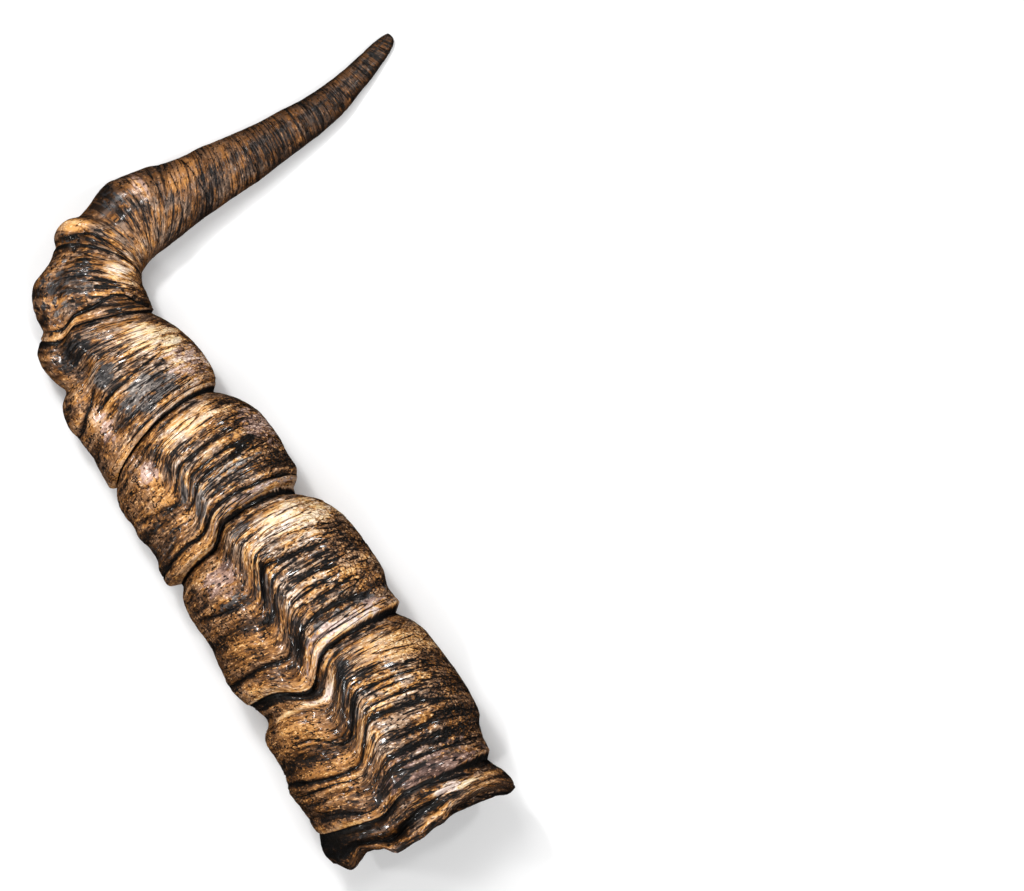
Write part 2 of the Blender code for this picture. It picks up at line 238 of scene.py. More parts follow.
def hump(place, middle, width):
    """A smooth hump of height 1."""
    return np.exp(-((place - middle) / width) ** 2)


def eased(knots, share):
    """Value between (share, value) knots, with a level stretch at each knot."""
    for (low, first), (high, second) in zip(knots, knots[1:]):
        if share <= high:
            return first + (second - first) * blend(share, low, high)
    return knots[-1][1]


def edge_point(points, share):
    """Point of the horn's edge at a share of the length of one stage's run of points."""
    places = [Vector(point) for point in points]
    lengths = [(b - a).length for a, b in zip(places, places[1:])]
    left = share * sum(lengths)
    number = 0
    while number < len(lengths) - 1 and left > lengths[number]:
        left -= lengths[number]
        number += 1
    first, second = places[number], places[number + 1]
    before = places[number - 1] if number else first * 2 - second
    after = places[number + 2] if number + 2 < len(places) else second * 2 - first
    return curve(before, first, second, after, min(left / lengths[number], 1.0))


def along_list(values, spot):
    """Smooth value in a list at a spot, which is a whole number of steps plus a share."""
    number = min(int(spot), len(values) - 2)
    before = values[max(number - 1, 0)]
    after = values[min(number + 2, len(values) - 1)]
    return curve(before, values[number], values[number + 1], after, spot - number)


def at_seams(key, growth):
    """A value that each stage gives once, read at a growth of whole stages plus a share."""
    return along_list([stage[key] for stage in STAGES] + [POINT[key]], growth)


def at_half_steps(key, growth):
    """A value that each stage gives at its seam and at its middle."""
    return along_list([value for stage in STAGES + [POINT] for value in stage[key]], growth * 2)


def section(number, share):
    """What all points of one section share: its two edges and its values."""
    stage = STAGES[number]
    growth = number + share
    rear = edge_point(stage["rear"], share)
    front = edge_point(stage["front"], share)
    across = (rear - front) / 2
    tipward = Vector((-across.y, across.x))
    if across.length > 0:
        tipward.normalize()
    thick = min(at_seams("thick", growth), THICKEST_SHARE * across.length)
    size = thick / THICKEST
    barrel, lobe = FORMS[stage["form"]]
    height = size * stage["relief"]
    tuck = TUCK if stage["form"] in ("collar", "ring") else 0.0
    return dict(
        middle=(rear + front) / 2, across=across, tipward=tipward, thick=thick, size=size,
        bed=thick + (CREST - WORN) * size * at_seams("relief", growth) + at_seams("lift", growth),
        barrel=eased(barrel, share) * height, lobe=eased(lobe, share) * height,
        trough=at_seams("trough", growth), dip=at_half_steps("dip", growth),
        rear_arch=at_half_steps("rear_arch", growth),
        front_arch=at_half_steps("front_arch", growth), place=at_half_steps("place", growth),
        tuck=tuck * blend(share, TUCKED_FROM, 1.0),
        rim=(1 - share) ** 2 if stage["form"] == "collar" else 0.0,
    )


# Columns around the horn, closer together on the side that shows. The turn starts at the rear
# edge, passes over the top, reaches the front edge half way and comes back underneath.
TURNS = np.concatenate([
    np.linspace(0.0, math.pi, UPPER_COLUMNS, endpoint=False),
    np.linspace(math.pi, 2 * math.pi, AROUND - UPPER_COLUMNS, endpoint=False),
])
COSINE = np.cos(TURNS)
SINE = np.sin(TURNS)
PLACE = (1 - COSINE) / 2
UPPER = SINE > 1e-9
CALM = np.where(UPPER, 1.0, UNDERSIDE)
RIM_LINE = np.array([eased(RIM_EDGE, place) for place in PLACE])


def skin(cut):
    """Points of the plain surface in one section, in millimetres, and how far each is lobe."""
    trough = cut["place"]
    lobe = blend(PLACE, trough + LOBE_FROM, trough + LOBE_TO)
    rise = np.sqrt(SINE * SINE + EDGE_ROUND) - math.sqrt(EDGE_ROUND)
    sweep = (cut["rear_arch"] * (1 - lobe) + cut["front_arch"] * lobe) * rise
    sweep = sweep - cut["dip"] * hump(PLACE, trough + DIP_FRONTWARD, DIP_WIDTH)
    sweep = sweep * CALM + cut["tuck"] * rise
    sweep = sweep + cut["rim"] * (RIM_LINE + np.where(UPPER, 0.0, RIM_UNDER * rise))

    power = np.where(UPPER, UPPER_POWER, UNDER_POWER)
    fullness = np.maximum(1 - np.abs(COSINE) ** power, 0.0) ** (1 / power)
    height = cut["thick"] + cut["barrel"] * (1 - lobe) + cut["lobe"] * lobe
    barrel_place, barrel_width, barrel_rise = BARREL_CROWN
    lobe_place, lobe_width, lobe_rise = LOBE_CROWN
    crown = (hump(PLACE, barrel_place, barrel_width) * barrel_rise
             + hump(PLACE, trough + lobe_place, lobe_width) * lobe_rise)
    height = (height + cut["thick"] * crown * UPPER) * fullness
    deep = np.where(UPPER, 1.0, UNDER_TROUGH)
    height = height - cut["trough"] * hump(PLACE, trough, TROUGH_WIDTH) * deep

    points = np.empty((AROUND, 3))
    middle, across, tipward = cut["middle"], cut["across"], cut["tipward"]
    points[:, 0] = middle.x + across.x * COSINE + tipward.x * sweep
    points[:, 1] = middle.y + across.y * COSINE + tipward.y * sweep
    points[:, 2] = cut["bed"] + np.where(UPPER, height, -height)
    for point, full in zip(points, fullness):
        point[2] += noise.noise(Vector(point) / LUMP_SIZE) * LUMP_HEIGHT * cut["size"] * full
    return points, lobe


# Rows along the horn: one section each, closer together at the lips.
cuts = []
numbers = []
shares = []
along = []
travelled = 0.0
for number, stage in enumerate(STAGES):
    length = sum((Vector(b) - Vector(a)).length for edge in (stage["rear"], stage["front"])
                 for a, b in zip(edge, edge[1:])) / 2
    for step in range(stage["rows"]):
        share = step / (stage["rows"] - 1)
        if stage["form"] in ("collar", "ring"):
            share -= CLOSER_AT_LIPS * math.sin(2 * math.pi * share) / (2 * math.pi)
        cuts.append(section(number, min(share, 1.0)))
        numbers.append(number)
        shares.append(share)
        along.append(travelled + share * length)
    stage["length"] = length
    travelled += length
numbers = np.array(numbers)
shares = np.array(shares)
along = np.array(along)
skins = [skin(cut) for cut in cuts]
points = np.array([row[0] for row in skins])
lobes = np.array([row[1] for row in skins])
size = np.array([cut["size"] for cut in cuts])[:, None]

# Growth coordinates in millimetres: two around the horn and one along it. Patterns that follow
# the growth lines are made in them.
girth = np.array([(cut["across"].length + cut["thick"]) / 2 for cut in cuts])
growth = np.empty(points.shape)
growth[:, :, 0] = girth[:, None] * COSINE
growth[:, :, 1] = girth[:, None] * SINE
growth[:, :, 2] = along[:, None]


def over_skin(pattern, around, lengthwise, seed):
    """A pattern read all over the skin, with a size around and along the horn."""
    stretch = Vector((1 / around, 1 / around, 1 / lengthwise))
    shift = Vector((seed * 7.31, seed * 3.17, seed * 5.53))
    values = [pattern(Vector(spot) * stretch + shift) for spot in growth.reshape(-1, 3)]
    return np.array(values).reshape(points.shape[:2])


def field(around, lengthwise, seed, rough=0.0):
    """Noise between about -1 and 1, with finer noise over it where it is rough."""
    values = over_skin(noise.noise, around, lengthwise, seed)
    if rough:
        values = values + rough * field(around / 2, lengthwise / 2, seed + 1)
    return values


def spots(around, lengthwise, seed):
    """1 at scattered points, 0 away from them."""
    away = over_skin(lambda spot: noise.voronoi(spot)[0][0], around, lengthwise, seed)
    return 1 - blend(away, 0.14, 0.34)


# Folds of each stage, drawn along its growth lines. A line gives the share of the stage at places
# across the horn, and across says where the fold begins and ends.
def ridge(line, height, width, across=(0.02, 0.98)):
    return dict(line=line, height=height, width=width, across=across)


def groove(line, depth, width, across=(0.02, 0.98)):
    return ridge(line, -depth, width, across)


BARREL = (0.17, 0.50)
LOBE = (0.66, 0.98)
FOLDS = [
    [   # collar
        ridge([(0.3, 0.93), (0.55, 0.80), (0.8, 0.66)], 1.6, 2.6, (0.2, 0.9)),
        groove([(0.25, 0.62), (0.4, 0.50), (0.6, 0.40), (0.75, 0.30)], 3.2, 2.4, (0.22, 0.72)),
        ridge([(0.27, 0.20), (0.53, 0.15), (0.68, 0.10)], 1.8, 2.6, (0.12, 0.8)),
    ],
    [   # first ring
        groove([(0.0, 0.09), (0.25, 0.11), (0.45, 0.125)], 0.8, 0.6, (0.0, 0.6)),
        ridge([(0.0, 0.13), (0.5, 0.145)], 0.6, 0.8, BARREL),
        groove([(0.1, 0.165), (0.5, 0.17)], 0.7, 0.8, BARREL),
        ridge([(0.1, 0.21)], 0.8, 1.0, BARREL),
        groove([(0.1, 0.235)], 0.7, 0.7, BARREL),
        ridge([(0.1, 0.28), (0.5, 0.29)], 1.1, 1.6, (0.15, 0.62)),
        groove([(0.1, 0.33), (0.25, 0.34), (0.5, 0.36), (0.63, 0.33), (0.77, 0.33),
                (0.98, 0.38)], 2.4, 1.8, (0.14, 1.0)),
        ridge([(0.1, 0.385), (0.5, 0.40)], 1.0, 1.2, (0.15, 0.62)),
        groove([(0.1, 0.415)], 0.7, 0.6, BARREL),
        ridge([(0.1, 0.44)], 0.5, 0.9, BARREL),
        groove([(0.1, 0.475)], 0.7, 0.7, BARREL),
        groove([(0.1, 0.52), (0.3, 0.51), (0.68, 0.51), (0.79, 0.61)], 1.5, 1.1, (0.15, 0.85)),
        groove([(0.1, 0.575)], 0.6, 0.6, BARREL),
        groove([(0.1, 0.63)], 0.4, 0.6, BARREL),
        groove([(0.1, 0.93)], 0.6, 0.7, BARREL),
        groove([(0.73, 0.06), (0.93, 0.12)], 1.5, 2.2, LOBE),
        ridge([(0.65, 0.18), (0.77, 0.19)], 1.2, 2.4, LOBE),
        groove([(0.70, 0.27), (0.79, 0.29)], 1.2, 1.6, LOBE),
        ridge([(0.55, 0.86), (0.70, 0.90), (0.87, 0.84), (0.97, 0.82)], 2.4, 2.4, (0.5, 1.0)),
    ],
    [   # second ring
        groove([(0.0, 0.045), (0.3, 0.055), (0.5, 0.06)], 0.5, 0.5, (0.0, 0.6)),
        groove([(0.1, 0.115)], 0.5, 0.5, BARREL),
        groove([(0.1, 0.135), (0.27, 0.165), (0.53, 0.17)], 1.7, 1.3, (0.12, 0.62)),
        ridge([(0.1, 0.20)], 0.7, 0.9, BARREL),
        groove([(0.1, 0.235)], 0.6, 0.6, BARREL),
        ridge([(0.1, 0.262)], 0.5, 0.8, BARREL),
        groove([(0.1, 0.29)], 0.7, 0.6, BARREL),
        ridge([(0.1, 0.32)], 0.5, 0.8, BARREL),
        groove([(0.1, 0.345)], 0.6, 0.6, BARREL),
        ridge([(0.15, 0.39), (0.47, 0.39), (0.55, 0.43), (0.63, 0.50)], 1.2, 1.4, (0.14, 0.68)),
        groove([(0.15, 0.475), (0.42, 0.50), (0.55, 0.55)], 2.8, 2.0, (0.17, 0.64)),
        ridge([(0.1, 0.53), (0.3, 0.575), (0.55, 0.60)], 1.1, 1.2, (0.15, 0.62)),
        groove([(0.05, 0.58), (0.17, 0.605), (0.3, 0.63), (0.47, 0.63)], 1.0, 0.8, (0.10, 0.58)),
        groove([(0.1, 0.68)], 0.4, 0.6, BARREL),
        groove([(0.1, 0.92)], 0.5, 0.7, BARREL),
        ridge([(0.55, 0.065), (0.97, 0.08)], 1.0, 2.4, (0.55, 1.0)),
        groove([(0.6, 0.23), (0.70, 0.25), (0.77, 0.23), (0.87, 0.19)], 2.2, 1.8, (0.56, 0.98)),
        ridge([(0.60, 0.36), (0.68, 0.38)], 1.0, 1.6, (0.55, 0.78)),
        groove([(0.70, 0.63), (0.85, 0.65), (0.95, 0.69)], 2.0, 1.8, (0.62, 1.0)),
    ],
    [   # third ring
        groove([(0.07, 0.11), (0.23, 0.125), (0.4, 0.145), (0.6, 0.145), (0.77, 0.18),
                (0.87, 0.17)], 2.6, 1.3, (0.0, 0.97)),
        ridge([(0.07, 0.15), (0.4, 0.18), (0.77, 0.215)], 1.1, 1.4, (0.0, 0.92)),
        groove([(0.1, 0.22)], 0.6, 0.6, BARREL),
        groove([(0.1, 0.255)], 0.5, 0.6, BARREL),
        groove([(0.1, 0.30)], 0.6, 0.7, BARREL),
        groove([(0.1, 0.395), (0.3, 0.36), (0.58, 0.36), (0.68, 0.43)], 1.7, 1.2, (0.15, 0.72)),
        ridge([(0.1, 0.42), (0.3, 0.395), (0.6, 0.395)], 0.8, 0.9, BARREL),
        groove([(0.17, 0.43), (0.5, 0.43)], 1.6, 1.1, (0.18, 0.58)),
        ridge([(0.1, 0.48)], 1.0, 1.3, (0.15, 0.62)),
        groove([(0.15, 0.53), (0.47, 0.535), (0.6, 0.57)], 2.3, 1.5, (0.17, 0.66)),
        groove([(0.1, 0.60)], 0.6, 0.7, BARREL),
        groove([(0.1, 0.93)], 0.5, 0.7, BARREL),
        groove([(0.72, 0.52), (0.95, 0.6)], 1.3, 1.8, LOBE),
    ],
    [   # fourth ring
        groove([(0.0, 0.045), (0.6, 0.055)], 1.0, 0.8, (0.02, 0.7)),
        groove([(0.1, 0.11)], 0.5, 0.6, BARREL),
        groove([(0.1, 0.20)], 0.4, 0.6, BARREL),
        groove([(0.1, 0.29)], 0.4, 0.6, BARREL),
        ridge([(0.2, 0.42), (0.5, 0.35)], 0.7, 1.2, (0.15, 0.7)),
        groove([(0.2, 0.455), (0.32, 0.41), (0.5, 0.38), (0.7, 0.38)], 1.5, 0.9, (0.18, 0.76)),
        groove([(0.1, 0.53)], 0.4, 0.6, BARREL),
        groove([(0.1, 0.93)], 0.5, 0.7, BARREL),
        groove([(0.72, 0.50), (0.87, 0.42), (0.95, 0.37)], 2.2, 1.8, (0.68, 1.0)),
    ],
    [   # fifth ring
        groove([(0.0, 0.0), (0.1, 0.17), (0.19, 0.30), (0.30, 0.29), (0.5, 0.16), (0.65, 0.13),
                (0.93, 0.10)], 2.0, 1.0, (0.03, 0.92)),
        ridge([(0.0, 0.0), (0.1, 0.08), (0.25, 0.16), (0.5, 0.08), (0.9, 0.05)], 1.0, 2.2,
              (0.03, 0.95)),
        groove([(0.1, 0.50)], 0.4, 0.6, BARREL),
    ],
    [   # knuckle
        ridge([(0.07, 0.10), (0.35, 0.44), (0.65, 0.58), (0.98, 0.36)], 1.3, 2.2, (0.03, 1.0)),
        groove([(0.07, 0.0), (0.35, 0.20), (0.65, 0.30), (0.98, 0.0)], 1.4, 1.4, (0.1, 0.9)),
    ],
    [   # swelling
        ridge([(0.5, 0.72), (0.65, 0.67), (0.93, 0.56), (1.0, 0.32)], 1.0, 2.4, (0.5, 1.0)),
        groove([(0.5, 0.92), (0.93, 0.80)], 0.6, 1.0, (0.5, 0.97)),
    ],
    [   # lower shaft
        groove([(0.2, 0.50), (0.45, 0.41), (0.98, 0.25)], 0.6, 0.5, (0.25, 1.0)),
        groove([(0.2, 0.20), (0.98, 0.05)], 0.4, 0.5, (0.1, 0.9)),
        groove([(0.08, 1.0), (0.37, 0.98), (0.89, 0.92)], 0.6, 0.5, (0.1, 1.0)),
    ],
    [   # upper shaft
        groove([(0.1, 0.45), (0.9, 0.40)], 0.3, 0.4, (0.3, 1.0)),
        groove([(0.37, 0.99), (0.92, 0.96)], 0.6, 0.5, (0.1, 1.0)),
    ],
    [   # tip
        groove([(0.3, 0.3), (0.9, 0.3)], 0.3, 0.4, (0.3, 0.95)),
    ],
]
# How far the folds wander off their lines, in millimetres, and by what share their heights vary.
WANDER = 0.9
FADING = 0.9


def place_line(fold):
    """Share of the stage at which a fold lies, column by column."""
    return np.interp(PLACE, *zip(*fold["line"]))


def across_reach(fold):
    """How strong a fold is, column by column."""
    first, last = fold["across"]
    reach = blend(PLACE, first - 0.05, first + 0.12)
    return reach * (1 - blend(PLACE, last - 0.08, last + 0.04))


wander = field(30.0, 14.0, 1) * WANDER
fading = 1 + field(12.0, 5.0, 2) * FADING
folds = np.zeros(points.shape[:2])
for number, stage in enumerate(STAGES):
    rows = numbers == number
    for fold in FOLDS[number]:
        offset = (shares[rows, None] - place_line(fold)) * stage["length"] + wander[rows]
        form = np.exp(-(offset / fold["width"]) ** 2)
        folds[rows] += form * across_reach(fold) * fold["height"] * fading[rows]

# A crisp line runs along the bottom of each groove. line_count is a whole number on each such line,
# line_gap is the distance in millimetres between the two lines on either side, and line_depth is
# how deep the nearest groove is. A line just outside each end of the stage closes the count.
line_count = np.zeros(points.shape[:2])
line_gap = np.ones(points.shape[:2])
line_depth = np.zeros(points.shape[:2])
for number, stage in enumerate(STAGES):
    rows = numbers == number
    grooves = [fold for fold in FOLDS[number] if fold["height"] < 0]
    lines = [np.full(AROUND, -0.02)] + [place_line(fold) for fold in grooves]
    lines = np.array(lines + [np.full(AROUND, 1.02)])
    depths = [np.zeros(AROUND)] + [-fold["height"] * across_reach(fold) for fold in grooves]
    depths = np.array(depths + [np.zeros(AROUND)])
    order = np.argsort(lines, axis=0)
    lines = np.take_along_axis(lines, order, axis=0)
    depths = np.take_along_axis(depths, order, axis=0)
    wandering = shares[rows, None] + wander[rows] / stage["length"]
    for column in range(AROUND):
        spot = wandering[:, column]
        count = np.interp(spot, lines[:, column], np.arange(len(lines)))
        line_count[rows, column] = count
        line_depth[rows, column] = np.interp(spot, lines[:, column], depths[:, column])
        gaps = np.diff(lines[:, column]) * stage["length"]
        line_gap[rows, column] = gaps[np.clip(count.astype(int), 0, len(gaps) - 1)]

# Round knobs: stage, share, place, radius and height in millimetres.
KNOBS = [
    (0, 0.56, 0.32, 5.0, 1.6), (0, 0.50, 0.62, 5.0, 1.2), (0, 0.30, 0.22, 4.0, 0.8),
    (1, 0.72, 0.88, 9.0, 1.2), (1, 0.40, 0.90, 7.0, 1.0), (1, 0.93, 0.60, 5.0, 1.2),
    (2, 0.82, 0.76, 7.0, 1.2), (2, 0.42, 0.84, 8.0, 1.2), (2, 0.37, 0.63, 4.0, 0.9),
    (3, 0.75, 0.72, 7.0, 1.3), (3, 0.45, 0.92, 6.0, 0.8), (3, 0.50, 0.64, 2.5, 0.8),
    (4, 0.53, 0.84, 5.0, 2.2), (4, 0.34, 0.83, 3.5, 1.3), (4, 0.21, 0.79, 3.5, 1.2),
    (4, 0.10, 0.74, 3.5, 1.0), (4, 0.92, 0.92, 5.0, 1.4), (5, 0.12, 0.95, 5.0, 1.2),
    (6, 0.45, 0.95, 7.0, 0.9), (7, 0.35, 0.94, 6.0, 0.6),
]
for number, share, place, radius, height in KNOBS:
    rows = numbers == number
    row = int(np.argmin(np.abs(shares - share) + (numbers != number)))
    column = int(np.argmin(np.abs(PLACE - place) + (SINE <= 0)))
    away = np.linalg.norm(points[rows] - points[row, column], axis=2)
    folds[rows] += height * np.exp(-(away / radius) ** 2)

# Fine forms that are too many to name: threads, cracks and dashes along the growth lines, and lumps
# and pits on the lobes and near both edges. They are fainter where there are no rings.
threads = field(34.0, 3.4, 3) * 0.45 + field(24.0, 1.8, 5) * 0.3
cracks = np.exp(-(field(40.0, 6.5, 7, 0.35) / 0.07) ** 2) * blend(field(16.0, 9.0, 9), -0.1, 0.25)
lumps = field(8.0, 7.0, 11, 0.5)
pits = spots(4.2, 2.3, 13)
dashes = spots(5.5, 1.7, 14) * blend(field(13.0, 8.0, 15), -0.15, 0.2)
ringed = np.where([STAGES[number]["form"] == "ring" for number in numbers], 1.0, 0.45)[:, None]
flank = np.maximum(1 - blend(PLACE, 0.04, 0.16), blend(PLACE, 0.86, 0.97))[None, :]
knobbly = np.clip(lobes + flank * 0.6, 0.0, 1.0)

# The edge of each ring is rolled over as far as its first groove, and LIP_ROLL is the height of the
# roll in millimetres. The smooth lip reaches as many times that far as LIP_LINES says.
RINGS = range(1, 6)
LIP_ROLL = [0.8, 0.5, 0.9, 0.6, 1.3]
LIP_LINES = [1.0, 2.2, 1.0, 1.6, 1.0]
lip = np.zeros(points.shape[:2])
rolled = np.zeros(points.shape[:2])
for number, roll, reach_times in zip(RINGS, LIP_ROLL, LIP_LINES):
    rows = numbers == number
    reach = np.maximum(place_line(FOLDS[number][0]), 0.02)
    into = np.clip(shares[rows, None] / reach, 0.0, 3.0)
    lip[rows] = 1 - blend(into / reach_times, 0.75, 1.05)
    rolled[rows] = roll * np.sin(np.pi * np.minimum(into, 1.0) ** 0.7)
rolled *= 0.4 + 0.6 * blend(PLACE, 0.0, 0.10)
smooth = 1 - 0.75 * lip

# The most polished parts are the rear shoulder of each ring, before the end that is tucked under
# the next lip, the brow of its trough, and the lip.
calm = np.zeros(points.shape[:2])
for number in RINGS:
    rows = numbers == number
    shoulder = blend(shares[rows], 0.58, 0.70) * (1 - blend(shares[rows], 0.92, 0.98))
    calm[rows] = shoulder[:, None] * hump(PLACE, 0.30, 0.24)[None, :]
    calm[rows] = np.maximum(calm[rows], 0.7 * hump(PLACE, 0.60, 0.07)[None, :])
calm = np.maximum(calm, 0.9 * lip)

# Near the rear edge the growth lines fade, and the skin is crazed into small scales.
scaly = np.zeros(points.shape[:2])
for number in RINGS:
    rows = numbers == number
    reach = blend(shares[rows], 0.08, 0.14) * (1 - blend(shares[rows], 0.80, 0.92))
    scaly[rows] = reach[:, None] * (1 - blend(PLACE, 0.10, 0.26))[None, :]

fine = threads * (1 - 0.6 * knobbly) - cracks * (1 - 0.5 * knobbly)
fine = fine + lumps * 0.50 * knobbly - pits * 0.7 * knobbly - dashes * 0.45 * (1 - knobbly)
fine = fine * ringed * smooth * (1 - 0.5 * scaly)
relief = (folds * CALM + rolled + fine) * (0.35 + 0.65 * size)

# The relief stands along a smooth outward direction, so it never folds through a lip.
outward = np.empty(points.shape)
for row, cut in enumerate(cuts):
    wide = max(cut["across"].length, 0.1)
    side = cut["across"] / wide
    outward[row, :, 0] = side.x * COSINE / wide
    outward[row, :, 1] = side.y * COSINE / wide
    outward[row, :, 2] = SINE / max(cut["thick"], 0.1)
outward /= np.maximum(np.linalg.norm(outward, axis=2), 1e-9)[:, :, None]
skin_points = points + outward * relief[:, :, None]
skin_points[:, :, 2] = np.maximum(skin_points[:, :, 2], 0.0)


def blurred(values, reach):
    """Mean over a reach of rows and of columns."""
    total = np.zeros(values.shape)
    padded = np.pad(values, ((reach, reach), (0, 0)), mode="edge")
    for shift in range(2 * reach + 1):
        total += padded[shift:shift + len(values)]
    total /= 2 * reach + 1
    wide = max(reach // 2, 1)
    return sum(np.roll(total, shift, axis=1) for shift in range(-wide, wide + 1)) / (2 * wide + 1)


# Dirt and painted shade lie where the skin is lower than what surrounds it, most of all in the
# trough, and a painted highlight, with polish, where it is higher. The value is above 0 on the
# crests and below 0 in the grooves.
TROUGH_DIRT_AND_SHADE = 2.25
barrel_form = np.array([cut["barrel"] for cut in cuts])[:, None]
lobe_form = np.array([cut["lobe"] for cut in cuts])[:, None]
heights = barrel_form * (1 - lobes) + lobe_form * lobes + relief - 0.5 * fine
heights = heights - TROUGH_DIRT_AND_SHADE * hump(PLACE, 0.62, TROUGH_WIDTH)[None, :]
near_step = heights - blurred(heights, 3)
wide_step = heights - blurred(heights, 11)
dirt_shade_and_highlight = near_step * 0.29 + wide_step * 0.07
dirt_shade_and_highlight = np.where(dirt_shade_and_highlight > 0, 0.24 * np.tanh(dirt_shade_and_highlight / 0.30), 0.26 * np.tanh(dirt_shade_and_highlight / 0.34))

# How strongly the fine pattern shows at each stage's base seam and at the tip: fully on the rings,
# less on the smooth shaft.
VIVID = [0.7, 0.95, 1.0, 1.0, 0.85, 0.75, 0.65, 0.5, 0.42, 0.36, 0.3, 0.3]
vivid = np.interp(numbers + np.clip(shares, 0.0, 1.0), np.arange(len(VIVID)), VIVID)
vivid = np.repeat(vivid[:, None], AROUND, axis=1)
vivid = vivid * (1 - 0.15 * knobbly)

# Named patches: stage, share, place, half the length and half the width in shares, and how much
# lighter, more slate grey and more rose each makes the horn. Below 0 in the last column is honey.
# The lighter patches on the collar, on the rear shoulder of each ring and along the crest of the
# first ring's lobe are painted highlight, and the dark patches in the trough of the first two rings
# are painted shade over a slate stain.
PATCHES = [
    # painted highlight on the collar
    (0, 0.62, 0.25, 0.20, 0.09, 0.80, 0.0, 0.6),
    (0, 0.42, 0.12, 0.30, 0.10, 0.16, 0.0, -0.6),
    (0, 0.75, 0.88, 0.55, 0.20, -0.32, 0.2, 0.0),
    (0, 0.44, 0.46, 0.10, 0.14, -0.24, 0.3, 0.0),
    (0, 0.20, 0.45, 0.12, 0.16, 0.08, 0.0, 0.1),
    (1, 0.11, 0.32, 0.09, 0.28, -0.16, 0.15, 0.2),
    (1, 0.28, 0.27, 0.10, 0.16, -0.10, 0.0, -0.2),
    # painted highlight on the first ring's rear shoulder
    (1, 0.74, 0.18, 0.15, 0.24, 0.22, 0.0, -0.5),
    # painted shade in the first ring's trough, over a slate stain
    (1, 0.78, 0.50, 0.12, 0.06, -0.36, 0.5, 0.0),
    (1, 0.55, 0.54, 0.10, 0.05, -0.16, 0.4, 0.0),
    # painted highlight along the crest of the first ring's lobe
    (1, 0.88, 0.58, 0.03, 0.08, 0.30, 0.0, 0.3),
    (1, 0.91, 0.70, 0.03, 0.09, 0.28, 0.0, 0.3),
    (1, 0.84, 0.88, 0.05, 0.08, 0.08, 0.0, -0.4),
    (1, 0.66, 0.86, 0.14, 0.16, 0.0, 0.0, -0.9),
    (1, 0.40, 0.85, 0.14, 0.16, -0.12, 0.0, -0.9),
    (1, 0.08, 0.82, 0.06, 0.16, -0.25, 0.1, 0.0),
    (1, 0.96, 0.80, 0.04, 0.20, -0.30, 0.1, 0.0),
    (1, 0.03, 0.30, 0.04, 0.28, -0.14, 0.1, 0.5),
    (2, 0.12, 0.28, 0.03, 0.26, -0.10, 0.5, 0.0),
    (2, 0.05, 0.30, 0.05, 0.28, 0.20, 0.4, 0.4),
    (2, 0.28, 0.08, 0.16, 0.10, 0.12, 0.0, 0.0),
    (2, 0.21, 0.55, 0.07, 0.07, -0.25, 0.2, 0.1),
    # painted shade in the second ring's trough, over a slate stain
    (2, 0.50, 0.57, 0.10, 0.06, -0.12, 0.4, 0.0),
    (2, 0.26, 0.17, 0.05, 0.05, 0.14, 0.0, -0.8),
    # painted highlight on the second ring's rear shoulder
    (2, 0.74, 0.18, 0.16, 0.24, 0.36, 0.0, 0.1),
    (2, 0.88, 0.45, 0.04, 0.10, -0.10, 0.5, 0.0),
    (2, 0.42, 0.84, 0.14, 0.16, -0.08, 0.0, -0.9),
    (2, 0.82, 0.76, 0.08, 0.14, -0.02, 0.1, 0.5),
    (2, 0.78, 0.92, 0.12, 0.08, -0.06, 0.0, -0.3),
    (2, 0.66, 0.75, 0.04, 0.12, -0.12, 0.4, 0.0),
    (3, 0.28, 0.35, 0.07, 0.22, 0.02, 0.35, 0.0),
    (3, 0.06, 0.28, 0.05, 0.26, 0.0, 0.4, 0.3),
    # painted highlight on the third ring's rear shoulder
    (3, 0.78, 0.32, 0.12, 0.20, 0.26, 0.0, -0.4),
    (3, 0.78, 0.70, 0.07, 0.07, 0.12, 0.1, 0.6),
    (3, 0.52, 0.05, 0.16, 0.08, 0.14, 0.1, 0.5),
    (3, 0.49, 0.63, 0.05, 0.04, 0.10, 0.6, 0.0),
    (3, 0.30, 0.58, 0.10, 0.07, 0.0, 0.6, 0.0),
    (3, 0.74, 0.90, 0.14, 0.10, -0.06, 0.0, -0.3),
    (3, 0.36, 0.90, 0.14, 0.14, -0.14, 0.2, 0.0),
    (4, 0.22, 0.44, 0.12, 0.24, 0.02, 0.55, 0.0),
    (4, 0.52, 0.62, 0.07, 0.09, -0.06, 0.6, 0.0),
    (4, 0.85, 0.72, 0.09, 0.14, -0.25, 0.3, 0.0),
    # painted highlight on the fourth ring's rear shoulder
    (4, 0.64, 0.22, 0.18, 0.20, 0.44, 0.0, -0.2),
    (4, 0.30, 0.11, 0.18, 0.12, 0.32, 0.1, 0.4),
    (4, 0.25, 0.80, 0.14, 0.05, 0.12, 0.0, 0.5),
    (5, 0.55, 0.72, 0.28, 0.26, -0.04, 0.35, 0.0),
    # painted highlight on the fifth ring's rear shoulder
    (5, 0.70, 0.22, 0.26, 0.18, 0.32, 0.0, 0.0),
    (5, 0.08, 0.30, 0.12, 0.40, -0.14, 0.0, -0.4),
    (6, 0.10, 0.75, 0.15, 0.22, -0.20, 0.2, 0.0),
    (6, 0.40, 0.86, 0.24, 0.16, 0.16, 0.0, -0.3),
    (7, 0.15, 0.82, 0.20, 0.18, -0.14, 0.3, 0.0),
    (7, 0.35, 0.45, 0.30, 0.20, -0.08, 0.0, -0.5),
    (7, 0.62, 0.78, 0.10, 0.18, 0.10, 0.0, 0.4),
    (8, 0.22, 0.75, 0.20, 0.20, 0.12, 0.0, -0.5),
]
ragged = field(9.0, 4.0, 21, 0.6)
tone = np.zeros(points.shape[:2])
slate = np.zeros(points.shape[:2])
rose = np.zeros(points.shape[:2])
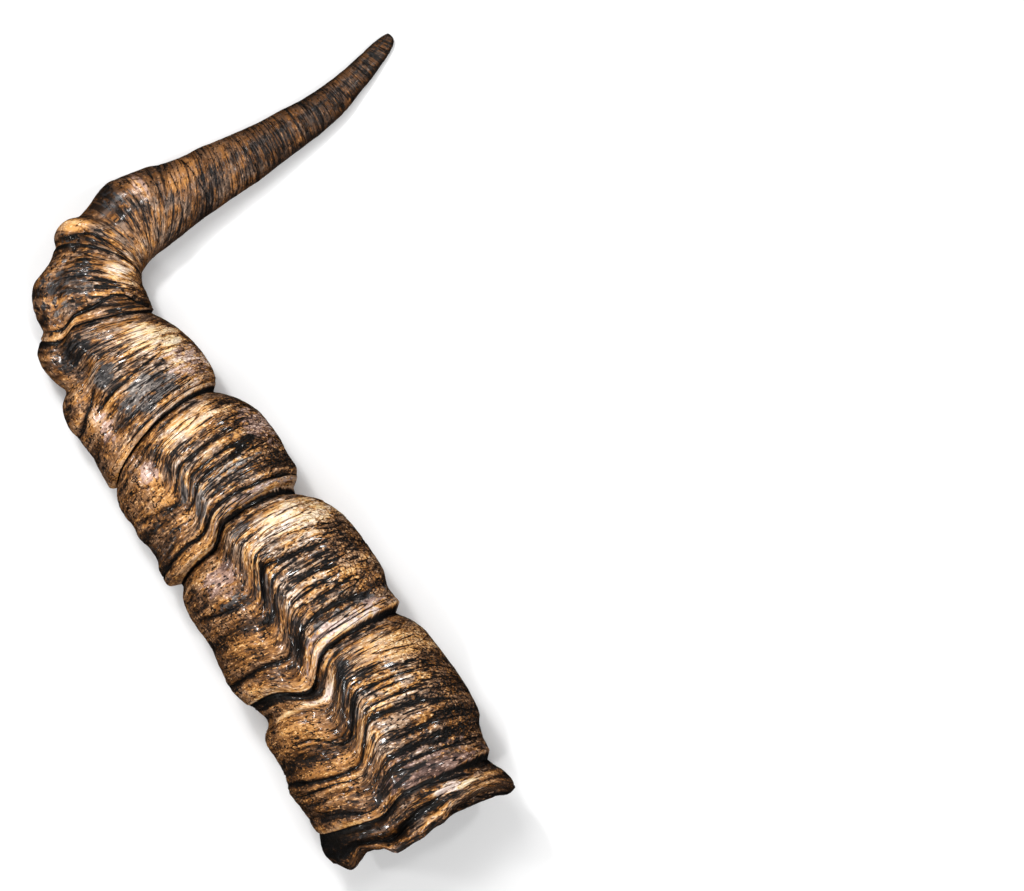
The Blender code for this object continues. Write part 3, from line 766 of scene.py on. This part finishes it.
for number, share, place, length, width, lighter, greyer, rosier in PATCHES:
    rows = numbers == number
    away = np.sqrt(((shares[rows, None] - share) / length) ** 2
                   + ((PLACE[None, :] - place) / width) ** 2)
    patch = (1 - blend(away + ragged[rows] * 0.5, 0.55, 1.35)) * np.where(UPPER, 1.0, 0.6)
    tone[rows] += patch * lighter
    slate[rows] = np.maximum(slate[rows], patch * greyer)
    rose[rows] += patch * rosier
tone += dirt_shade_and_highlight + field(26.0, 18.0, 23, 0.5) * 0.10

# The pits and cracks, the narrow end and the collar are darker. The end of each ring that is
# tucked under the next lip is darker as painted shade under the lip, and both edges are a little
# darker as painted shade.
COLLAR, KNUCKLE, SHAFT = 0, 6, 8
knuckle_base, shaft_base = (along[numbers == number][0] for number in (KNUCKLE, SHAFT))
marks = pits * knobbly * 0.16 + dashes * (1 - knobbly) * 0.10 + cracks * 0.14
tone -= marks * ringed ** 2
seam = np.zeros(points.shape[:2])
for number in (COLLAR, *RINGS):
    rows = numbers == number
    seam[rows] = blend(shares[rows], 0.980, 1.0)[:, None]
# Painted shade under each lip.
tone -= seam * 0.5
tone -= 0.05 * blend(along, knuckle_base, shaft_base)[:, None]
# The 0.08 times flank is painted shade at both edges.
tone -= 0.10 * blend(along, shaft_base, along[-1])[:, None] + 0.08 * flank
tone[numbers == COLLAR] -= 0.10

# The skin is fitted to the box of the frame.
for axis, (lowest, highest) in enumerate(zip(*cad_box)):
    low = skin_points[:, :, axis].min()
    step = (highest - lowest) / MM / (skin_points[:, :, axis].max() - low)
    skin_points[:, :, axis] = lowest / MM + (skin_points[:, :, axis] - low) * step


def hollow_wall(grown, share_taken):
    """Points of the wall of the hollow at the base, in millimetres."""
    number = int(grown)
    cut = section(number, grown - number)
    wall = np.empty((AROUND, 3))
    wall[:, 0] = cut["middle"].x + cut["across"].x * COSINE * share_taken
    wall[:, 1] = cut["middle"].y + cut["across"].y * COSINE * share_taken
    wall[:, 2] = cut["bed"] + cut["thick"] * SINE * share_taken
    return wall


def rounded_rim():
    """Rows that round the rim from the hollow's mouth to the skin."""
    inner = hollow_wall(*HOLLOW[0])
    outer = skin_points[0]
    tipward = np.array([cuts[0]["tipward"].x, cuts[0]["tipward"].y, 0.0])
    chips = np.array([noise.noise(Vector(spot) / CHIP_SIZE) for spot in outer])[:, None]
    rows = []
    for step in range(1, RIM_STEPS):
        share = step / RIM_STEPS
        bulge = 4 * share * (1 - share) * RIM_ROUND * (1 + chips * CHIP_HEIGHT)
        rows.append(inner + (outer - inner) * share - tipward * bulge)
    return rows


inner_rows = []
inner_places = list(reversed(HOLLOW))
for (place_a, taken_a), (place_b, taken_b) in zip(inner_places, inner_places[1:]):
    for step in range(2):
        share = step / 2
        inner_rows.append(hollow_wall(place_a + (place_b - place_a) * share,
                                      taken_a + (taken_b - taken_a) * share))
inner_rows.append(hollow_wall(*HOLLOW[0]))
rim_rows = rounded_rim()
lead = len(inner_rows) + len(rim_rows)
everything = np.concatenate([np.array(inner_rows), np.array(rim_rows), skin_points])


def carried(values, inside):
    """A value of the skin with rows in front for the hollow's wall and the rim."""
    front = [np.full(AROUND, inside) for row in inner_rows]
    front += [inside + (values[0] - inside) * (step + 1) / (len(rim_rows) + 1)
              for step in range(len(rim_rows))]
    return np.concatenate([np.array(front), values])


inner_growth = [np.column_stack([row[:, 0], row[:, 2], row[:, 1]]) for row in everything[:lead]]
growth_all = np.concatenate([np.array(inner_growth), growth])
layers = {
    # Inside the hollow the tone is low, as painted shade, and it rises over the rim.
    "tone": carried(tone, -0.35),
    "slate": carried(slate, 0.1),
    "rose": carried(rose, 0.0),
    "vivid": carried(vivid, 0.6),
    "knobbly": carried(np.broadcast_to(knobbly, tone.shape), 0.6),
    "calm": carried(calm, 0.0),
    "scaly": carried(scaly, 0.0),
    "line_count": carried(line_count, 0.5),
    "line_gap": carried(line_gap, 1.0),
    "line_depth": carried(line_depth, 0.0),
}

# The skin is a grid that is rolled into a tube and closed at the tip and at the hollow's end.
bm = bmesh.new()
bmesh.ops.create_grid(bm, x_segments=AROUND, y_segments=len(everything) - 1, size=1.0)
bm.verts.ensure_lookup_table()
growth_layer = bm.verts.layers.float_vector.new("growth")
value_layers = {name: bm.verts.layers.float.new(name) for name in layers}
for row in range(len(everything)):
    for column in range(AROUND + 1):
        vert = bm.verts[row * (AROUND + 1) + column]
        vert.co = Vector(everything[row, column % AROUND]) * MM
        vert[growth_layer] = Vector(growth_all[row, column % AROUND])
        for name, layer in value_layers.items():
            vert[layer] = layers[name][row, column % AROUND]
bmesh.ops.remove_doubles(bm, verts=bm.verts, dist=1e-6)
bmesh.ops.recalc_face_normals(bm, faces=bm.faces)
mesh = bpy.data.meshes.new("ibex_horn")
bm.to_mesh(mesh)
bm.free()
mesh.shade_smooth()
horn = bpy.data.objects.new("ibex_horn", mesh)
bpy.context.scene.collection.objects.link(horn)

# Keratin: amber brown where it is polished, near black in its grooves, where dirt and painted shade
# lie, and in its hollow, which is painted shade.
keratin = bpy.data.materials.new("polished keratin")
keratin.use_nodes = True
tree = keratin.node_tree
shader = tree.nodes["Principled BSDF"]


def add(kind, inputs=None, **settings):
    """A node with its settings, and with values or other nodes' sockets on its inputs."""
    made = tree.nodes.new(kind)
    for name, value in settings.items():
        setattr(made, name, value)
    for socket, value in (inputs or {}).items():
        if isinstance(value, bpy.types.NodeSocket):
            tree.links.new(value, made.inputs[socket])
        else:
            made.inputs[socket].default_value = value
    return made


def maths(operation, first, second=0.0, third=0.0):
    """One sum on sockets or numbers."""
    return add("ShaderNodeMath", {0: first, 1: second, 2: third},
               operation=operation).outputs[0]


def ramp(factor, stops):
    """Colour ramp with (position, colour) stops, or (position, grey) stops."""
    made = add("ShaderNodeValToRGB", {0: factor})
    elements = made.color_ramp.elements
    while len(elements) < len(stops):
        elements.new(0.5)
    for element, (position, colour) in zip(elements, stops):
        element.position = position
        element.color = (*colour, 1.0) if isinstance(colour, tuple) else (colour,) * 3 + (1.0,)
    return made.outputs["Color"]


def mixed(factor, first, second):
    """Two colours mixed."""
    return add("ShaderNodeMix", {"Factor": factor, "A": first, "B": second},
               data_type="RGBA").outputs["Result"]


def attribute(name, output="Fac"):
    """A layer of the skin."""
    return add("ShaderNodeAttribute", attribute_name=name).outputs[output]


def placed(around_mm, along_mm, shift=0.0):
    """The growth coordinates, counted in steps of a size around and along the horn."""
    return add("ShaderNodeMapping", {
        "Vector": growth_place, "Location": (shift, shift, shift),
        "Scale": (1 / around_mm, 1 / around_mm, 1 / along_mm)}).outputs[0]


def grain(around_mm, along_mm, detail=2.0, roughness=0.6, shift=0.0):
    """Noise in the growth coordinates."""
    return add("ShaderNodeTexNoise", {
        "Vector": placed(around_mm, along_mm, shift), "Scale": 1.0,
        "Detail": detail, "Roughness": roughness}).outputs[0]


def cells(around_mm, along_mm, feature="F1"):
    """Distance in a pattern of scattered cells: to the nearest middle, or to the nearest border."""
    return add("ShaderNodeTexVoronoi", {"Vector": placed(around_mm, along_mm), "Scale": 1.0},
               feature=feature).outputs["Distance"]


growth_place = attribute("growth", "Vector")
tone_value = attribute("tone")
knob_value = attribute("knobbly")
calm_value = attribute("calm")
scale_value = attribute("scaly")
vivid_value = attribute("vivid")
line_depth_value = attribute("line_depth")
rose_value = attribute("rose")
striae = grain(8.0, 0.9, 2.0, 0.55)
bands = grain(15.0, 2.1, 2.0, 0.55, 3.0)
blocks = grain(3.6, 1.7, 1.0, 0.5, 53.0)
mottle = grain(2.8, 1.9, 3.0, 0.62, 7.0)
grit = grain(1.3, 0.7, 2.0, 0.6, 19.0)
strands = grain(34.0, 4.2, 2.0, 0.5, 23.0)
worms = grain(6.5, 4.6, 2.0, 0.5, 29.0)
breaks = grain(7.0, 3.0, 2.0, 0.5, 41.0)
flecks = grain(2.2, 0.8, 1.0, 0.5, 11.0)
glint_grain = grain(1.8, 0.8, 1.0, 0.5, 27.0)
clefts = grain(0.9, 5.0, 2.0, 0.6, 15.0)
hues = grain(9.0, 4.0, 4.0, 0.62, 31.0)
stains = grain(4.0, 1.8, 3.0, 0.6, 37.0)


def thin_line(value, turns, width):
    """1 on thin lines where a value times a number of turns is whole, 0 between them."""
    off = maths("PINGPONG", maths("MULTIPLY", value, turns), 0.5)
    return ramp(off, [(width * 0.35, 1.0), (width, 0.0)])


# Dirt and painted shade in the crisp line at the bottom of each groove, wider where the groove is
# deeper.
from_line = maths("MULTIPLY", maths("PINGPONG", attribute("line_count"), 0.5),
                  attribute("line_gap"))
line_width = maths("MULTIPLY_ADD", line_depth_value, 0.22, 0.22)
line_width = maths("MULTIPLY", line_width, maths("MULTIPLY_ADD", breaks, 1.8, 0.1))
crease_mask = ramp(maths("DIVIDE", from_line, line_width), [(0.45, 1.0), (1.0, 0.0)])
crease_mask = maths("MULTIPLY", crease_mask,
                    maths("MINIMUM", maths("MULTIPLY", line_depth_value, 2.0), 1.0))

# Hairlines along the growth lines, and wormy cracks on the knobs.
hair_mask = maths("MULTIPLY", thin_line(strands, 3.6, 0.13),
                  ramp(breaks, [(0.33, 0.0), (0.44, 1.0)]))
hair_mask = maths("MULTIPLY", hair_mask, maths("MULTIPLY_ADD", knob_value, -0.8, 1.0))
worm_mask = maths("MULTIPLY", thin_line(worms, 3.2, 0.11),
                  ramp(stains, [(0.46, 0.0), (0.54, 1.0)]))
worm_mask = maths("MULTIPLY", worm_mask, knob_value)

# Small round pits on the knobs, and borders between the scales near the rear edge.
pit_mask = ramp(cells(3.2, 2.2), [(0.11, 1.0), (0.21, 0.0)])
pit_mask = maths("MULTIPLY", pit_mask, maths("MULTIPLY_ADD", knob_value, 0.8, 0.2))
scale_mask = ramp(cells(3.0, 2.3, "DISTANCE_TO_EDGE"), [(0.02, 1.0), (0.12, 0.0)])
scale_mask = maths("MULTIPLY", scale_mask, scale_value)

# How much of the fine pattern is left where the horn is polished, and how much of its lines where
# knobs and scales take their place.
busy = maths("MULTIPLY_ADD", maths("MAXIMUM", calm_value, knob_value), -0.66, 1.0)
plain = maths("MINIMUM", maths("ADD", knob_value, scale_value), 1.0)
lined = maths("MULTIPLY", maths("MULTIPLY_ADD", plain, -0.70, 1.0), busy)

# Dark flecks, painted glints of light, and clefts that run along the lobe.
fleck_mask = maths("MULTIPLY", ramp(flecks, [(0.62, 0.0), (0.66, 1.0)]), busy)
painted_glint_mask = ramp(glint_grain, [(0.61, 0.0), (0.66, 1.0)])
cleft_mask = maths("MULTIPLY", ramp(clefts, [(0.60, 0.0), (0.65, 1.0)]), knob_value)
block_step = ramp(blocks, [(0.44, 0.0), (0.56, 1.0)])


def centred(value):
    """A noise that lies about 0."""
    return maths("SUBTRACT", value, 0.5)


# The pattern adds these up, each times how much it lightens the horn, or darkens it below 0. level,
# which picks the colour, is the tone that follows the form with the pattern over it.
PATTERN = [
    (maths("MULTIPLY", centred(striae), lined), 0.8),
    (centred(bands), 0.32),
    (centred(mottle), maths("MULTIPLY_ADD", knob_value, -0.24, 0.5)),
    (maths("MULTIPLY", centred(block_step), lined), 0.16),
    (maths("MULTIPLY", centred(grit), busy), 0.62),
    (fleck_mask, -0.42),
    (cleft_mask, -0.14),
    (pit_mask, -0.44),
    (scale_mask, -0.20),
    # painted glints of light
    (painted_glint_mask, 0.26),
    (hair_mask, -0.44),
    (worm_mask, -0.40),
]
pattern = 0.0
for mask, lighter in PATTERN:
    pattern = maths("MULTIPLY_ADD", mask, lighter, pattern)
level = maths("MULTIPLY_ADD", pattern, vivid_value, maths("ADD", tone_value, 0.505))
# The crisp line at each groove's bottom is darker: dirt and painted shade.
level = maths("MULTIPLY_ADD", crease_mask, -0.42, level)

# The smooth shaft shows thin growth lines all the way round.
arc_mask = maths("MULTIPLY", thin_line(grain(60.0, 3.6, 1.0, 0.5, 61.0), 5.0, 0.17),
                 ramp(breaks, [(0.34, 0.2), (0.50, 1.0)]))
arc_mask = maths("MULTIPLY", arc_mask, maths("SUBTRACT", 1.0, vivid_value))
level = maths("MULTIPLY_ADD", arc_mask, -0.26, level)


def patchy(amount, low, high, most):
    """A soft patch made crisp at its edge, which follows the blocks and the stripes."""
    edge = maths("MULTIPLY_ADD", centred(blocks), 1.4, amount)
    edge = maths("MULTIPLY_ADD", centred(bands), 0.9, edge)
    edge = ramp(edge, [(low, 0.0), (high, 1.0)])
    return maths("MULTIPLY", maths("MULTIPLY", edge, most),
                 maths("MINIMUM", maths("MULTIPLY", amount, 8.0), 1.0))


slate_mask = patchy(attribute("slate"), 0.30, 0.44, 0.9)
rose_mask = patchy(maths("MAXIMUM", rose_value, 0.0), 0.22, 0.50, 0.85)
level = maths("MULTIPLY_ADD", slate_mask, -0.04, level)

honey = ramp(level, [
    (0.10, (0.004, 0.003, 0.002)),
    (0.27, (0.024, 0.010, 0.003)),
    (0.41, (0.132, 0.049, 0.011)),
    (0.55, (0.415, 0.172, 0.042)),
    (0.70, (0.780, 0.392, 0.118)),
    (0.90, (1.000, 0.770, 0.430)),
])
buff = ramp(level, [
    (0.10, (0.005, 0.004, 0.004)),
    (0.27, (0.018, 0.011, 0.008)),
    (0.41, (0.096, 0.058, 0.038)),
    (0.55, (0.310, 0.198, 0.130)),
    (0.70, (0.570, 0.410, 0.300)),
    (0.90, (0.950, 0.810, 0.690)),
])
slate_colour = ramp(level, [
    (0.10, (0.004, 0.004, 0.005)),
    (0.41, (0.062, 0.058, 0.058)),
    (0.66, (0.240, 0.215, 0.198)),
    (0.90, (0.560, 0.500, 0.460)),
])
rose_colour = ramp(level, [
    (0.10, (0.007, 0.005, 0.005)),
    (0.41, (0.140, 0.076, 0.060)),
    (0.66, (0.540, 0.350, 0.285)),
    (0.90, (0.960, 0.790, 0.720)),
])
buff_share = maths("MULTIPLY", ramp(hues, [(0.42, 0.0), (0.58, 1.0)]),
                   maths("MULTIPLY_ADD", plain, -0.5, 1.0))
buff_share = maths("MULTIPLY", buff_share, maths("ADD", maths("MINIMUM", rose_value, 0.0), 1.0))
colour = mixed(buff_share, honey, buff)
stain_mask = maths("MULTIPLY", ramp(stains, [(0.57, 0.0), (0.66, 1.0)]),
                   maths("MULTIPLY_ADD", plain, -0.5, 0.7))
vivid_square = maths("MULTIPLY", vivid_value, vivid_value)
stain_mask = maths("MULTIPLY", stain_mask, vivid_square)
colour = mixed(maths("MAXIMUM", slate_mask, stain_mask), colour, slate_colour)
colour = mixed(rose_mask, colour, rose_colour)
tree.links.new(colour, shader.inputs["Base Color"])

roughness = ramp(maths("ADD", level, centred(mottle)),
                 [(0.1, 0.50), (0.5, 0.34), (0.9, 0.24)])
tree.links.new(roughness, shader.inputs["Roughness"])
shader.inputs["Specular IOR Level"].default_value = 0.5
tree.links.new(maths("MULTIPLY", vivid_square, 0.6), shader.inputs["Coat Weight"])
shader.inputs["Coat Roughness"].default_value = 0.12

rough_height = maths("ADD", striae, maths("MULTIPLY", mottle, 0.7))
rough_height = maths("MULTIPLY_ADD", grit, 0.35, rough_height)
rough_height = maths("MULTIPLY", rough_height, maths("MULTIPLY", busy, vivid_value))
for mask, depth in ((fleck_mask, 0.35), (cleft_mask, 0.25), (hair_mask, 0.35), (worm_mask, 0.5),
                    (crease_mask, 0.7), (pit_mask, 0.6), (scale_mask, 0.5)):
    rough_height = maths("MULTIPLY_ADD", mask, -depth, rough_height)
bump = add("ShaderNodeBump", {"Height": rough_height, "Strength": 1.0, "Distance": 0.0010})
tree.links.new(bump.outputs[0], shader.inputs["Normal"])
mesh.materials.append(keratin)

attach(horn, "root")
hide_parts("horn")

# The floor
# A plain pale surface under the horn, wide enough to fill the view from any side. It is matt, and
# the horn's polish doesn't mirror it.
FLOOR_SIDE = 12.0
FLOOR_GREY = 0.92
bm = bmesh.new()
bmesh.ops.create_grid(bm, x_segments=1, y_segments=1, size=FLOOR_SIDE / 2)
floor_mesh = bpy.data.meshes.new("floor")
bm.to_mesh(floor_mesh)
bm.free()
floor = bpy.data.objects.new("floor", floor_mesh)
bpy.context.scene.collection.objects.link(floor)
pale = bpy.data.materials.new("pale floor")
pale.use_nodes = True
pale_shader = pale.node_tree.nodes["Principled BSDF"]
pale_shader.inputs["Base Color"].default_value = (FLOOR_GREY, FLOOR_GREY, FLOOR_GREY, 1.0)
pale_shader.inputs["Roughness"].default_value = 0.9
floor_mesh.materials.append(pale)
floor.visible_glossy = False

# The light
# Soft studio light: broad panels and a pale room light the horn evenly, and small lamps around it
# are the only ones that its polish mirrors. All point at the floor under the middle of its box.
ROOM_STRENGTH = 0.36
# Name, place, side in metres, watts, and whether the polish mirrors it.
LAMPS = [
    ("tipward_panel", (-0.25, 0.55, 1.3), 0.60, 8.0, False),
    ("base_panel", (0.3, -0.6, 1.2), 0.60, 4.0, False),
    ("tipward_lamp", (-0.35, 0.55, 1.0), 0.11, 4.4, True),
    ("rear_lamp", (0.75, 0.35, 0.9), 0.11, 2.4, True),
    ("base_lamp", (0.2, -0.8, 0.9), 0.11, 2.4, True),
    ("front_lamp", (-0.8, -0.1, 0.8), 0.11, 2.0, True),
]
for name, place, side, watts, mirrored in LAMPS:
    lamp = bpy.data.lights.new(name, "AREA")
    lamp.size = side
    lamp.energy = watts
    panel = bpy.data.objects.new(name, lamp)
    panel.location = place
    panel.rotation_euler = (-Vector(place)).to_track_quat("-Z", "Y").to_euler()
    panel.visible_glossy = mirrored
    bpy.context.scene.collection.objects.link(panel)
room = bpy.data.worlds.new("pale room")
room.use_nodes = True
room_light = room.node_tree.nodes["Background"]
room_light.inputs["Color"].default_value = (1.0, 1.0, 1.0, 1.0)
room_light.inputs["Strength"].default_value = ROOM_STRENGTH
room.cycles_visibility.glossy = False
bpy.context.scene.world = room
bpy.context.scene.view_settings.view_transform = "Standard"

# The camera
# It looks straight down on the horn through a long lens, from high up, with the horn left of the
# middle of the view.
VIEW_WIDTH_MM = 512.0
VIEW_MIDDLE_MM = (119.25, 2.25)
VIEW_LEVEL_MM = 25.0
CAMERA_HEIGHT_MM = 8000.0
SENSOR_WIDTH_MM = 36.0
camera_data = bpy.data.cameras.new("camera")
camera_data.sensor_width = SENSOR_WIDTH_MM
camera_data.lens = SENSOR_WIDTH_MM * (CAMERA_HEIGHT_MM - VIEW_LEVEL_MM) / VIEW_WIDTH_MM
camera = bpy.data.objects.new("camera", camera_data)
camera.location = Vector((*VIEW_MIDDLE_MM, CAMERA_HEIGHT_MM)) * MM
bpy.context.scene.collection.objects.link(camera)
bpy.context.scene.camera = camera
